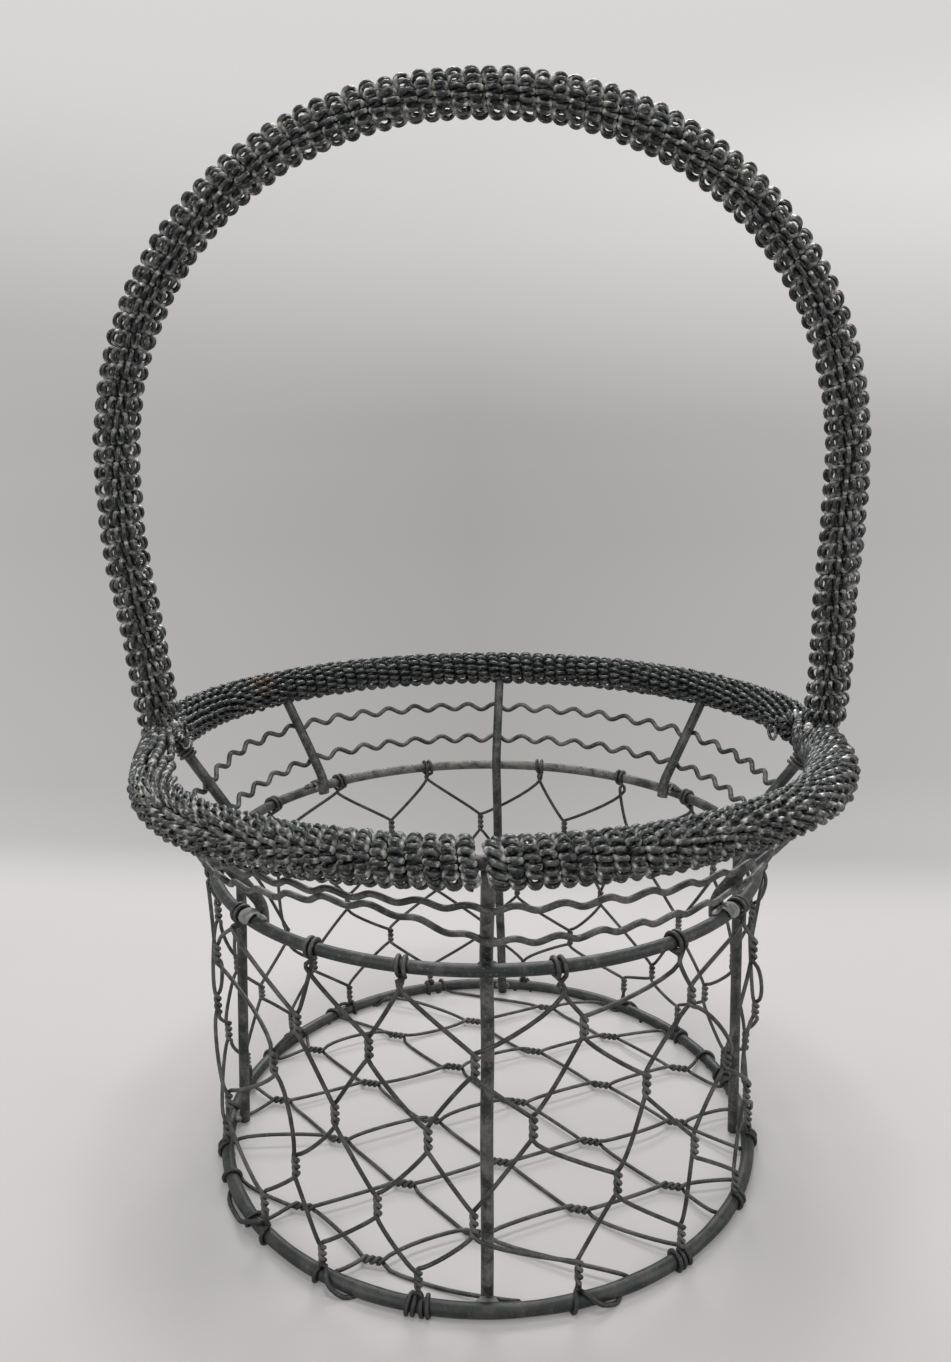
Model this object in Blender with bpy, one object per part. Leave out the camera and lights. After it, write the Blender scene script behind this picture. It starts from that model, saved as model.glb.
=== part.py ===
# Wire egg basket: three hoops and eight ribs carry a wall and a floor of twisted netting,
# two crimped wires go round the flare, and coiled-wire sleeves cover the rim and the handle.
# Metres, +Z up. The origin is the centre of the base hoop on the surface it stands on.
# Azimuths are measured from the front, which is -Y, towards the right, which is +X.

import math

import bmesh
import bpy
from mathutils import Vector

# Driving sizes.
CLEARANCE = 0.0003              # between pieces that touch or are welded
BASE_RADIUS = 0.0800            # hoop radii are to the middle of the wire
BASE_WIRE = 0.0040
WAIST_INSET = 0.0016            # how much smaller the waist's radius is than the base's
WAIST_HEIGHT = 0.0915
WAIST_WIRE = 0.0032
RIM_FLARE = 0.0170              # how much larger the rim's radius is than the waist's
RIM_RISE = 0.0330               # from the middle of the waist hoop to the middle of the rim
RIM_WIRE = 0.0032
RIM_SLEEVE = 0.0115             # outer diameter of the sleeve on the rim
HANDLE_BULGE = 0.0050           # how far the handle stands out past the rim where it is widest
HANDLE_WIDEST_RISE = 0.0735     # from the rim to where the handle is widest
HANDLE_TOP_RISE = 0.0970        # from there to the top of its core
HANDLE_WIRE = 0.0032
HANDLE_SLEEVE = 0.0125
RIB_WIRE = 0.0032
CRIMP_WIRE = 0.0015
CRIMP_PITCH = 0.0100
CRIMP_DEPTH = 0.0022            # from crest to trough
NET_WIRE = 0.00105
NET_TWIST = 0.0070              # length of one twist
FLOOR_ROW_STEP = 0.0148         # between neighbouring rows of floor twists
FLOOR_TWIST_STEP = 0.0248       # between neighbouring twists of one floor wire
BINDING_WIRE = 0.00115
BINDING_GAP = 0.00045           # between turns of a binding
SLEEVE_SEAM = 0.0008            # gap where the rim sleeve's two ends meet
CUTTER_OVERRUN = 0.0020

# Counts, shares and angles.
HOOP_SIDES = 48
HANDLE_SIDES = 36
WALL_WIRES = 16
RIM_SLEEVE_BANDS = 96
HANDLE_SLEEVE_BANDS = 80
BINDING_TURNS = 3
BINDING_STEPS = 8               # straight runs in one turn
JOIN_SHARE = 0.01               # of the clearance, within which a mesh's points are joined
RIB_FOOT_SHARE = 0.25           # of the base wire, from the middle of the hoop down to a rib's foot
LOOP_ANGLES = (210, 150, 90, 30, -30)   # round the waist hoop's section, in degrees
LEFT_FOOT_ANGLES = (108, 65, 22, -21)   # round the base hoop's section
RIGHT_FOOT_ANGLES = (65, 22, -21)
FLOOR_END_ANGLES = (180, 140)
SLEEVE_VALLEY_SHARE = 0.82      # of the sleeve's radius, between two bands
HANDLE_SQUARENESS = 2.1         # 2 is a true ellipse
# Of the free run of a rib, from the waist hoop up to the binding.
CRIMP_PLACE_SHARES = {"lower_crimped_ring": 0.222, "upper_crimped_ring": 0.962}
WALL_ROW_SHARES = (0.775, 0.52, 0.30, 0.125)
SEAM_AZIMUTH = math.radians(-4)
FLOOR_TURN = math.radians(-13)  # the floor netting lies slightly askew
FLOOR_ROW_SHARE = 0.39          # of a row step, from the centre to the first row
FLOOR_TWIST_SHARE = 0.38        # of a twist step, from the centre to that row's first twist
FLOOR_REACH_SHARE = 0.90        # twists lie within this share of the base radius

FULL_RIBS = {"rib_front": 0, "rib_right": 90, "rib_rear": 176, "rib_left": 266}
FLARE_RIBS = {
    "flare_rib_front_right": 50,
    "flare_rib_rear_right": 128,
    "flare_rib_rear_left": 225,
    "flare_rib_front_left": 310.5,
}

# The netting was twisted by hand. Each row has one share for each wall wire: how far the
# twist lies to the right of its even place, as a share of the spacing round the hoop.
TIE_SIDE_SHARES = (0, 0.03, -0.08, -0.1, -0.1, -0.16, -0.21, -0.19,
                   0.16, 0.28, 0.27, 0.06, 0.1, 0.13, 0.06, -0.17)
TWIST_SIDE_SHARES = (
    (-0.31, -0.32, -0.2, -0.1, -0.1, 0.18, 0.01, 0.02,
     0.1, 0.55, 0.15, 0.1, 0, 0.41, 0.07, -0.12),
    (-0.19, -0.26, -0.25, -0.2, -0.1, -0.06, 0.04, 0.08,
     0.05, 0.2, 0.1, 0.1, 0.1, 0.6, 0.25, 0.02),
    (0, -0.2, -0.15, -0.1, -0.05, -0.19, -0.08, 0,
     0.15, 0.2, 0.1, 0, 0.1, 0.31, 0.1, -0.14),
    (0.18, 0.18, 0.1, 0, 0, -0.1, -0.3, 0,
     0.16, 0.22, 0.1, 0, 0.05, 0.34, 0.06, -0.08),
)
# How far each twist lies above its row, as a share of a quarter of the wall's height.
TWIST_RISE_SHARES = (
    (0.22, 0.2, 0.1, -0.05, 0, -0.04, -0.14, -0.12,
     -0.09, 0.2, 0.1, 0, 0.05, 0, -0.05, -0.13),
    (0.14, 0.37, 0.1, 0, -0.1, -0.2, -0.22, -0.28,
     -0.2, -0.2, -0.3, -0.1, 0.1, 0.38, 0.08, 0),
    (0.19, 0.2, 0.1, 0, -0.1, -0.3, -0.15, -0.1,
     -0.06, -0.1, 0, 0.1, 0.05, 0.1, 0, -0.07),
    (0.05, -0.05, -0.1, 0, 0.05, 0.05, 0.1, 0,
     -0.05, -0.05, 0, 0.05, 0, 0.1, -0.05, 0),
)

# Sizes and places that follow from the others.
WAIST_RADIUS = BASE_RADIUS - WAIST_INSET
RIM_RADIUS = WAIST_RADIUS + RIM_FLARE
RIM_HEIGHT = WAIST_HEIGHT + RIM_RISE
HANDLE_HALF_WIDTH = RIM_RADIUS + HANDLE_BULGE
HANDLE_WIDEST_HEIGHT = RIM_HEIGHT + HANDLE_WIDEST_RISE
BINDING_PITCH = BINDING_WIRE + BINDING_GAP
BINDING_LENGTH = BINDING_TURNS * BINDING_PITCH + BINDING_WIRE
OCTAGON_FLAT_SHARE = math.cos(math.pi / 8)
BASE_HEIGHT = BASE_WIRE / 2 * OCTAGON_FLAT_SHARE
RIB_FOOT_RADIUS = BASE_RADIUS - BASE_WIRE / 2 - CLEARANCE - RIB_WIRE / 2
RIB_WAIST_RADIUS = WAIST_RADIUS - WAIST_WIRE / 2 - CLEARANCE - RIB_WIRE / 2
RIB_BEND_HEIGHT = WAIST_HEIGHT + RIB_WIRE
HANDLE_FOOT_HEIGHT = RIM_HEIGHT + RIM_WIRE / 2 + CLEARANCE
TWIST_RADIUS = (NET_WIRE + CLEARANCE) / 2 / math.cos(math.pi / 4)

UP = Vector((0, 0, 1))


def spot(radius, azimuth, height):
    return Vector((radius * math.sin(azimuth), -radius * math.cos(azimuth), height))


def outward(azimuth):
    return Vector((math.sin(azimuth), -math.cos(azimuth), 0))


def rightward(azimuth):
    return Vector((math.cos(azimuth), math.sin(azimuth), 0))


def mix(low, high, share):
    return low + (high - low) * share


def make_material(name, colour, roughness, metallic):
    material = bpy.data.materials.new(name)
    material.use_nodes = True
    shader = material.node_tree.nodes["Principled BSDF"]
    shader.inputs["Base Color"].default_value = (*colour, 1)
    shader.inputs["Roughness"].default_value = roughness
    shader.inputs["Metallic"].default_value = metallic
    return material


def make_wire(name, points, diameter, sides, material, closed=False, widths=None, tilt=0):
    # A round wire along straight runs between its points. The widths are shares of the diameter.
    curve = bpy.data.curves.new(name, "CURVE")
    curve.dimensions = "3D"
    curve.bevel_depth = diameter / 2
    curve.bevel_resolution = (sides - 4) // 2
    curve.use_fill_caps = True
    spline = curve.splines.new("POLY")
    spline.points.add(len(points) - 1)
    for place, point in enumerate(points):
        spline.points[place].co = (*point, 1)
        spline.points[place].tilt = tilt
        if widths:
            spline.points[place].radius = widths[place]
    spline.use_cyclic_u = closed
    spline.use_smooth = sides > 4
    piece = bpy.data.objects.new(name, curve)
    piece.data.materials.append(material)
    basket.objects.link(piece)
    return piece


def to_mesh(piece):
    # A curve can't be cut, so it is remade as a mesh with its caps welded on.
    bpy.context.view_layer.update()
    evaluated = piece.evaluated_get(bpy.context.evaluated_depsgraph_get())
    mesh = bpy.data.meshes.new_from_object(evaluated)
    shape = bmesh.new()
    shape.from_mesh(mesh)
    bmesh.ops.remove_doubles(shape, verts=shape.verts, dist=CLEARANCE * JOIN_SHARE)
    bmesh.ops.recalc_face_normals(shape, faces=shape.faces)
    shape.to_mesh(mesh)
    shape.free()
    name = piece.name
    solid = bpy.data.objects.new(name, mesh)
    solid.matrix_world = piece.matrix_world
    for collection in piece.users_collection:
        collection.objects.link(solid)
    bpy.data.objects.remove(piece)
    solid.name = name
    return solid


def make_cutter(name, points, diameter, sides, closed=False):
    cutter = to_mesh(make_wire(name, points, diameter, sides, wire_paint, closed))
    basket.objects.unlink(cutter)
    cutters.objects.link(cutter)
    cutter.hide_render = True
    cutter.display_type = "WIRE"
    return cutter


def cut(piece, tools):
    for tool in tools:
        boolean = piece.modifiers.new(tool.name, "BOOLEAN")
        boolean.operation = "DIFFERENCE"
        boolean.object = tool


def loose_bore(diameter, sides):
    # The diameter of a bore of that many sides that clears a wire by the clearance all round.
    return diameter + 2 * CLEARANCE / math.cos(math.pi / sides)


def hoop_points(radius, height, count=HOOP_SIDES):
    return [spot(radius, math.tau * place / count, height) for place in range(count)]


def along(points, distance):
    # The point at a distance along a line of points.
    for start, end in zip(points, points[1:]):
        step = (end - start).length
        if distance <= step:
            return mix(start, end, distance / step)
        distance -= step
    return points[-1].copy()


def line_length(points):
    return sum((end - start).length for start, end in zip(points, points[1:]))


# Hoops.

def make_hoops():
    # The base hoop is turned by half a side, so that it stands on a flat and not on an edge.
    make_wire("base_hoop", hoop_points(BASE_RADIUS, BASE_HEIGHT), BASE_WIRE, 8, base_paint,
              closed=True, tilt=math.pi / 8)
    make_wire("waist_hoop", hoop_points(WAIST_RADIUS, WAIST_HEIGHT), WAIST_WIRE, 8, wire_paint,
              closed=True)
    make_wire("rim_hoop", hoop_points(RIM_RADIUS, RIM_HEIGHT), RIM_WIRE, 6, wire_paint,
              closed=True)


# Ribs.

def rib_slope():
    # From the bend above the waist to the middle of the rim, as radius and height.
    bend = Vector((RIB_WAIST_RADIUS, RIB_BEND_HEIGHT))
    rim = Vector((RIM_RADIUS, RIM_HEIGHT))
    return bend, rim


def rib_profile(full):
    # A full rib stands inside both hoops. A flare rib starts just below the waist hoop.
    bend, rim = rib_slope()
    run = (rim - bend).normalized()
    if full:
        foot = Vector((RIB_FOOT_RADIUS, BASE_HEIGHT - BASE_WIRE * RIB_FOOT_SHARE))
    else:
        foot = Vector((RIB_WAIST_RADIUS, WAIST_HEIGHT - WAIST_WIRE))
    straight = (bend - foot).normalized()
    corner = RIB_WIRE
    before = bend - straight * corner
    after = bend + run * corner
    bulge = (before + after + bend * 2) / 4
    top = rim - run * (RIM_WIRE / 2 + CLEARANCE)
    return [foot, before, bulge, after, top]


def rib_points(full, azimuth):
    return [spot(radius, azimuth, height) for radius, height in rib_profile(full)]


def make_ribs():
    for names, full in ((FULL_RIBS, True), (FLARE_RIBS, False)):
        for name, degrees in names.items():
            make_wire(name, rib_points(full, math.radians(degrees)), RIB_WIRE, 8, wire_paint)


def make_crimped_rings():
    # They lie on the outside of the ribs and are bent up and down along the flare.
    bend, rim = rib_slope()
    run = (rim - bend).normalized()
    away = Vector((run.y, -run.x)) * (RIB_WIRE / 2 + CLEARANCE + CRIMP_WIRE / 2)
    room = CLEARANCE + (CRIMP_DEPTH + CRIMP_WIRE) / 2
    low = WAIST_WIRE + room
    high = (rim - bend).length - RIM_SLEEVE / 2 - CLEARANCE - BINDING_LENGTH - room
    for name, share in CRIMP_PLACE_SHARES.items():
        middle = bend + run * mix(low, high, share) + away
        waves = round(math.tau * middle.x / CRIMP_PITCH)
        points = []
        for place in range(2 * waves):
            side = 1 if place % 2 else -1
            crest = middle + run * (side * CRIMP_DEPTH / 2)
            points.append(spot(crest.x, math.pi * place / waves, crest.y))
        make_wire(name, points, CRIMP_WIRE, 4, wire_paint, closed=True)


# Handle.

def handle_points():
    # Each leg leans out from the rim to the widest height, and a squared ellipse joins them.
    steps = 2 * HANDLE_SIDES
    leg = []
    for place in range(steps):
        share = place / steps
        leg.append(Vector((HANDLE_HALF_WIDTH - HANDLE_BULGE * (1 - share) ** 2, 0,
                           mix(HANDLE_FOOT_HEIGHT, HANDLE_WIDEST_HEIGHT, share))))
    arch = []
    for place in range(2 * steps + 1):
        angle = math.pi * place / (2 * steps)
        side, up = math.cos(angle), math.sin(angle)
        arch.append(Vector((
            math.copysign(abs(side) ** (2 / HANDLE_SQUARENESS), side) * HANDLE_HALF_WIDTH, 0,
            HANDLE_WIDEST_HEIGHT + abs(up) ** (2 / HANDLE_SQUARENESS) * HANDLE_TOP_RISE)))
    other = [Vector((-point.x, 0, point.z)) for point in reversed(leg)]
    return leg + arch + other


def handle_core_points():
    line = handle_points()
    step = line_length(line) / HANDLE_SIDES
    return [along(line, step * place) for place in range(HANDLE_SIDES)] + [line[-1]]


# Sleeves. Each band of coiled wire is a swelling of the sleeve, which has the core in its bore.

def band_widths(bands):
    return [1 if place % 2 else SLEEVE_VALLEY_SHARE for place in range(2 * bands + 1)]


def make_rim_sleeve(tools):
    half_seam = SLEEVE_SEAM / 2 / RIM_RADIUS
    start = SEAM_AZIMUTH + half_seam
    sweep = math.tau - 2 * half_seam
    points = [spot(RIM_RADIUS, start + sweep * place / (2 * RIM_SLEEVE_BANDS), RIM_HEIGHT)
              for place in range(2 * RIM_SLEEVE_BANDS + 1)]
    sleeve = to_mesh(make_wire("rim_sleeve", points, RIM_SLEEVE, 8, sleeve_paint,
                               widths=band_widths(RIM_SLEEVE_BANDS)))
    cut(sleeve, tools)


def make_handle_sleeve(tools):
    line = handle_points()
    seat = RIM_SLEEVE / 2 - RIM_WIRE / 2 + 2 * CLEARANCE
    step = (line_length(line) - 2 * seat) / (2 * HANDLE_SLEEVE_BANDS)
    points = [along(line, seat + step * place) for place in range(2 * HANDLE_SLEEVE_BANDS + 1)]
    sleeve = to_mesh(make_wire("handle_sleeve", points, HANDLE_SLEEVE, 8, sleeve_paint,
                               widths=band_widths(HANDLE_SLEEVE_BANDS)))
    cut(sleeve, tools)


def make_sleeves():
    core = handle_core_points()
    lead = (core[0] - core[1]).normalized() * CUTTER_OVERRUN
    tail = (core[-1] - core[-2]).normalized() * CUTTER_OVERRUN
    handle_bore = make_cutter("handle_bore", [core[0] + lead, *core, core[-1] + tail],
                              loose_bore(HANDLE_WIRE, 6), 6)
    rim_bore = make_cutter("rim_bore", hoop_points(RIM_RADIUS, RIM_HEIGHT),
                           loose_bore(RIM_WIRE, 6), 6, closed=True)
    slots = []
    for names in (FULL_RIBS, FLARE_RIBS):
        for name, degrees in names.items():
            azimuth = math.radians(degrees)
            ends = [rib_points(False, azimuth)[-2], spot(RIM_RADIUS, azimuth, RIM_HEIGHT)]
            slots.append(make_cutter(name + "_slot", ends, loose_bore(RIB_WIRE, 8), 8))
    make_rim_sleeve([rim_bore, handle_bore, *slots])
    make_handle_sleeve([handle_bore])


# Bindings: a thin wire wound round each side rib, close under the rim sleeve.

def make_bindings():
    bend, rim = rib_slope()
    run = (rim - bend).normalized()
    steps = BINDING_STEPS
    radius = (RIB_WIRE / 2 + CLEARANCE + BINDING_WIRE / 2) / math.cos(math.pi / steps)
    first = RIM_SLEEVE / 2 + CLEARANCE + BINDING_WIRE / 2
    for name, rib in (("rib_binding_left", "rib_left"), ("rib_binding_right", "rib_right")):
        azimuth = math.radians(FULL_RIBS[rib])
        downhill = -(outward(azimuth) * run.x + UP * run.y)
        side = rightward(azimuth)
        across = downhill.cross(side)
        start = spot(rim.x, azimuth, rim.y) + downhill * first
        points = []
        for place in range(BINDING_TURNS * steps + 1):
            angle = math.tau * place / steps
            points.append(start + downhill * (BINDING_PITCH * place / steps)
                          + (side * math.cos(angle) + across * math.sin(angle)) * radius)
        make_wire(name, points, BINDING_WIRE, 6, wire_paint)
    least = min((points[place + steps] - points[place]).length
                for place in range(len(points) - steps))
    print(f"least gap between the turns of a binding: {(least - BINDING_WIRE) * 1000:.2f} mm")


# Netting. Two wires clasp each other wherever they meet.

def clasp(centre, ahead, across, out, side):
    # The three points of one wire of a twist. The side is 1 if it comes from behind the across
    # direction and -1 if it comes from the other side.
    half = ahead * (NET_TWIST / 2)
    return [
        centre - half + out * (side * TWIST_RADIUS),
        centre + across * (side * TWIST_RADIUS),
        centre + half - out * (side * TWIST_RADIUS),
    ]


def round_hoop(radius, height, hoop_wire, azimuth, angles, shift):
    # Points of a netting wire bent over a hoop. The angles go round the hoop's section from its
    # outer side over its top, and the shift is the run along the hoop from the first to the last.
    step = abs(angles[1] - angles[0])
    reach = (hoop_wire / 2 + CLEARANCE + NET_WIRE / 2) / math.cos(math.radians(step / 2))
    points = []
    for place, angle in enumerate(angles):
        turn = azimuth + shift / radius * (place / (len(angles) - 1) - 0.5)
        points.append(spot(radius + reach * math.cos(math.radians(angle)), turn,
                           height + reach * math.sin(math.radians(angle))))
    return points


def wall_twist(row, place):
    # Azimuth and height of a twist. Odd rows lie below the ties and even rows between them.
    place %= WALL_WIRES
    even = place + (0.5 if row % 2 else 1) + TWIST_SIDE_SHARES[row][place]
    wall = WAIST_HEIGHT - BASE_HEIGHT
    height = BASE_HEIGHT + wall * (WALL_ROW_SHARES[row] + TWIST_RISE_SHARES[row][place] / 4)
    return math.tau * even / WALL_WIRES, height


def wall_radius(height):
    # The netting hangs from the outside of the waist hoop to the top of the base hoop.
    share = (height - BASE_HEIGHT) / (WAIST_HEIGHT - BASE_HEIGHT)
    return mix(BASE_RADIUS, WAIST_RADIUS + WAIST_WIRE / 2, share)


def wall_leg(place, side):
    # One leg of a wall wire, from its loop to the base hoop. The right leg has side 1: it meets
    # the next wire's left leg in the first and third rows, and its own other leg in the others.
    points = []
    for row in range(len(WALL_ROW_SHARES)):
        own = row % 2 == 1
        neighbour = place if own or side == 1 else place - 1
        azimuth, height = wall_twist(row, neighbour)
        centre = spot(wall_radius(height), azimuth, height)
        points += clasp(centre, -UP, rightward(azimuth), outward(azimuth), -side if own else side)
    foot = azimuth + side * NET_TWIST / 2 / BASE_RADIUS
    angles = RIGHT_FOOT_ANGLES if side == 1 else LEFT_FOOT_ANGLES
    points += round_hoop(BASE_RADIUS, BASE_HEIGHT, BASE_WIRE, foot, angles, side * NET_WIRE)
    return points


def make_wall():
    for place in range(WALL_WIRES):
        tie = math.tau * (place + 0.5 + TIE_SIDE_SHARES[place]) / WALL_WIRES
        loop = round_hoop(WAIST_RADIUS, WAIST_HEIGHT, WAIST_WIRE, tie, LOOP_ANGLES, NET_WIRE)
        left = wall_leg(place, -1)
        left.reverse()
        make_wire(f"wall_wire_{place + 1:02d}", left + loop + wall_leg(place, 1),
                  NET_WIRE, 4, net_paint)


def floor_spot(run, across, height):
    cosine, sine = math.cos(FLOOR_TURN), math.sin(FLOOR_TURN)
    return Vector((run * cosine - across * sine, run * sine + across * cosine, height))


def floor_row(row):
    return FLOOR_ROW_STEP * (row + FLOOR_ROW_SHARE)


def floor_wire_line(low_row):
    # A floor wire runs midway between its low row and the next.
    return (floor_row(low_row) + floor_row(low_row + 1)) / 2


def floor_wire_rows():
    # The low rows of the wires that fit inside the base hoop.
    count = math.ceil(BASE_RADIUS / FLOOR_ROW_STEP) + 1
    inside = BASE_RADIUS - BASE_WIRE
    return [row for row in range(-count, count) if abs(floor_wire_line(row)) < inside]


def floor_twists(row):
    # Where the twists of a row lie along it. Neighbouring rows are staggered.
    reach = (BASE_RADIUS * FLOOR_REACH_SHARE) ** 2 - floor_row(row) ** 2
    if reach <= 0:
        return []
    span = math.sqrt(reach)
    first = FLOOR_TWIST_STEP * (FLOOR_TWIST_SHARE + row % 2)
    count = math.ceil(BASE_RADIUS / FLOOR_TWIST_STEP)
    places = [first + 2 * FLOOR_TWIST_STEP * place for place in range(-count, count + 1)]
    return [place for place in places if abs(place) <= span]


def floor_end(run_side, across):
    # The wire's end climbs the inner side of the base hoop.
    span = math.sqrt(BASE_RADIUS ** 2 - across ** 2)
    end = floor_spot(run_side * span, across, 0)
    azimuth = math.atan2(end.x, -end.y)
    return round_hoop(BASE_RADIUS, BASE_HEIGHT, BASE_WIRE, azimuth, FLOOR_END_ANGLES, 0)


def make_floor():
    ahead = floor_spot(1, 0, 0)
    across = floor_spot(0, 1, 0)
    for number, low_row in enumerate(floor_wire_rows(), start=1):
        stops = [(place, low_row, -1) for place in floor_twists(low_row)]
        stops += [(place, low_row + 1, 1) for place in floor_twists(low_row + 1)]
        middle = floor_wire_line(low_row)
        points = list(reversed(floor_end(-1, middle)))
        for place, row, side in sorted(stops):
            centre = floor_spot(place, floor_row(row), BASE_HEIGHT)
            points += clasp(centre, ahead, across, UP, side)
        points += floor_end(1, middle)
        make_wire(f"floor_wire_{number:02d}", points, NET_WIRE, 4, net_paint)


for old in list(bpy.data.objects):
    bpy.data.objects.remove(old)

basket = bpy.data.collections.new("wire_egg_basket")
cutters = bpy.data.collections.new("cutters")
bpy.context.scene.collection.children.link(basket)
bpy.context.scene.collection.children.link(cutters)

base_paint = make_material("base_wire", (0.055, 0.060, 0.060), 0.55, 0.75)
wire_paint = make_material("frame_wire", (0.090, 0.095, 0.092), 0.50, 0.75)
net_paint = make_material("netting_wire", (0.080, 0.085, 0.083), 0.50, 0.75)
sleeve_paint = make_material("coiled_wire", (0.065, 0.070, 0.070), 0.48, 0.80)

make_hoops()
make_ribs()
make_crimped_rings()
make_wire("handle_core", handle_core_points(), HANDLE_WIRE, 6, wire_paint)
make_sleeves()
make_bindings()
make_wall()
make_floor()
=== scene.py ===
# Looks of the wire egg basket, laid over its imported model. Metres, +Z up, the front is -Y.
# Azimuths run from the front towards the right. A wire's section angle starts at its outer side
# and goes over its top.
import math

import bpy
import numpy as np
from mathutils import Matrix, Vector


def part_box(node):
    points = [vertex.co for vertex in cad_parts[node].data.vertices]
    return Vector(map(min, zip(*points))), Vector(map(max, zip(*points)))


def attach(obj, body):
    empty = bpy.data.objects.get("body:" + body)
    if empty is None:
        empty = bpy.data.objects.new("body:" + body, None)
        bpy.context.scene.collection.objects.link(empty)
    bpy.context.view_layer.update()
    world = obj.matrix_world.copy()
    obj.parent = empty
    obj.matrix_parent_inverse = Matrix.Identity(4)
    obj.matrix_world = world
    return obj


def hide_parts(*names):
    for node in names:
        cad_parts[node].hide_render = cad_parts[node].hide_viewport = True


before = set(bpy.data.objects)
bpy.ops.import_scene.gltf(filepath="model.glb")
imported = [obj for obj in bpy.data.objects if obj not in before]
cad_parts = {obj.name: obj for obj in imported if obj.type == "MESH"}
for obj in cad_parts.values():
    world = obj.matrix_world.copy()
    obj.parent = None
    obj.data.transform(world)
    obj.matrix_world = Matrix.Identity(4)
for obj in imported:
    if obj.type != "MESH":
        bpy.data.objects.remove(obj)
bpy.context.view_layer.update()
turn = math.tau
upward = np.array((0.0, 0.0, 1.0))


# Small helpers for places.

def outwardAt(azimuth):
    return np.stack((np.sin(azimuth), -np.cos(azimuth), 0 * azimuth), -1)


def rightwardAt(azimuth):
    return np.stack((np.cos(azimuth), np.sin(azimuth), 0 * azimuth), -1)


def column(values):
    return np.asarray(values)[..., None]


def spotAt(radius, azimuth, height):
    return outwardAt(azimuth) * column(radius) + upward * column(height)


def circled(first, second, angle, reach=1.0):
    # Places round a point, by their angle from the first direction towards the second.
    return first * column(np.cos(angle) * reach) + second * column(np.sin(angle) * reach)


def mixed(low, high, share):
    return low + (high - low) * share


def unit(rows):
    return rows / np.linalg.norm(rows, axis=-1, keepdims=True)


def summed(steps):
    return np.concatenate([[0], np.cumsum(steps)])


def distancesAlong(line):
    return summed(np.linalg.norm(np.diff(line, axis=0), axis=1))


def rowsAt(places, known, rows):
    # Looks places up between the known ones, each of which has a row.
    return np.stack([np.interp(places, known, rows[:, k]) for k in range(3)], 1)


def drift(places, rate, seed):
    # A smooth wandering between about -1 and 1, the same on each run.
    chance = np.random.default_rng(seed)
    total = np.zeros_like(places, dtype=float)
    for octave in range(4):
        speed = rate * (1 + octave * 0.83)
        total += np.sin(places * speed + chance.uniform(0, turn)) / (1 + octave * 0.6)
    return total / 2.2


def smoothLine(points, step):
    # A soft curve through the points, with one point for about each step of its length.
    points = np.array(points, dtype=float)
    ahead = np.vstack([2 * points[0] - points[1], points, 2 * points[-1] - points[-2]])
    line = []
    for before, start, end, after in zip(ahead, ahead[1:], ahead[2:], ahead[3:]):
        count = max(2, int(np.linalg.norm(end - start) / step))
        share = column(np.arange(count) / count)
        line.append(0.5 * (2 * start + (end - before) * share
                           + (2 * before - 5 * start + 4 * end - after) * share ** 2
                           + (3 * start - before - 3 * end + after) * share ** 3))
    return np.vstack([*line, points[-1]])


def crossFrames(line, closed):
    # Two directions across the line at each point, which turn as little as they can.
    if closed:
        ahead = unit(np.roll(line, -1, axis=0) - np.roll(line, 1, axis=0))
    else:
        ahead = unit(np.gradient(line, axis=0))
    first = np.cross(ahead[0], upward if abs(ahead[0][2]) < 0.9 else (0, 1, 0))
    sides = [first / np.linalg.norm(first)]
    for direction in ahead[1:]:
        side = sides[-1] - direction * np.dot(sides[-1], direction)
        sides.append(side / np.linalg.norm(side))
    sides = np.array(sides)
    if closed:
        last = sides[-1] - ahead[0] * np.dot(sides[-1], ahead[0])
        slip = math.atan2(np.dot(np.cross(last, sides[0]), ahead[0]), np.dot(last, sides[0]))
        sides = circled(sides, np.cross(ahead, sides), slip * np.arange(len(line)) / len(line))
    return sides, np.cross(ahead, sides)


def roundWire(line, diameter, sides=8, closed=False, widths=1.0, frames=None, rub=0.35):
    # A wire along the line. Its rub, mostly from 0 to 1, says how worn each place is.
    line = np.array(line, dtype=float)
    count = len(line)
    across, over = frames if frames is not None else crossFrames(line, closed)
    corners = np.arange(sides)
    radii = np.broadcast_to(np.asarray(widths, dtype=float), (count,)) * diameter / 2
    ring = circled(across[:, None], over[:, None], corners * turn / sides)
    vertices = (line[:, None] + ring * radii[:, None, None]).reshape(-1, 3)
    starts = column(np.arange(count if closed else count - 1)) * sides
    here = (starts + corners).ravel()
    beside = (starts + (corners + 1) % sides).ravel()
    total = count * sides
    faces = np.stack([here, beside, (beside + sides) % total, (here + sides) % total], 1).tolist()
    if not closed:
        faces.append(list(range(sides))[::-1])
        faces.append(list(range(total - sides, total)))
    worn = np.broadcast_to(np.asarray(rub, dtype=float).reshape(-1, 1), (count, sides)).ravel()
    return vertices, faces, worn


def addObject(name, data):
    made = bpy.data.objects.new(name, data)
    bpy.context.scene.collection.objects.link(made)
    return made


def layPiece(name, wires, finish, standsFor=()):
    # One piece of one or more wires.
    vertices, faces, worn = [], [], []
    for corners, sheets, rubs in wires:
        faces += [[corner + len(worn) for corner in sheet] for sheet in sheets]
        vertices += corners.tolist()
        worn += rubs.tolist()
    mesh = bpy.data.meshes.new(name)
    mesh.from_pydata(vertices, [], faces)
    mesh.shade_smooth()
    mesh.attributes.new("rub", "FLOAT", "POINT").data.foreach_set("value", worn)
    mesh.materials.append(finish)
    piece = addObject(name, mesh)
    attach(piece, "root")
    if standsFor:
        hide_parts(*standsFor)


def layWire(name, node, line, diameter, finish, sides=8, closed=False, **shape):
    # A piece of one wire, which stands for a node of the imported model.
    layPiece(name, [roundWire(line, diameter, sides, closed, **shape)], finish, [node])


# Shader maths.

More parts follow.
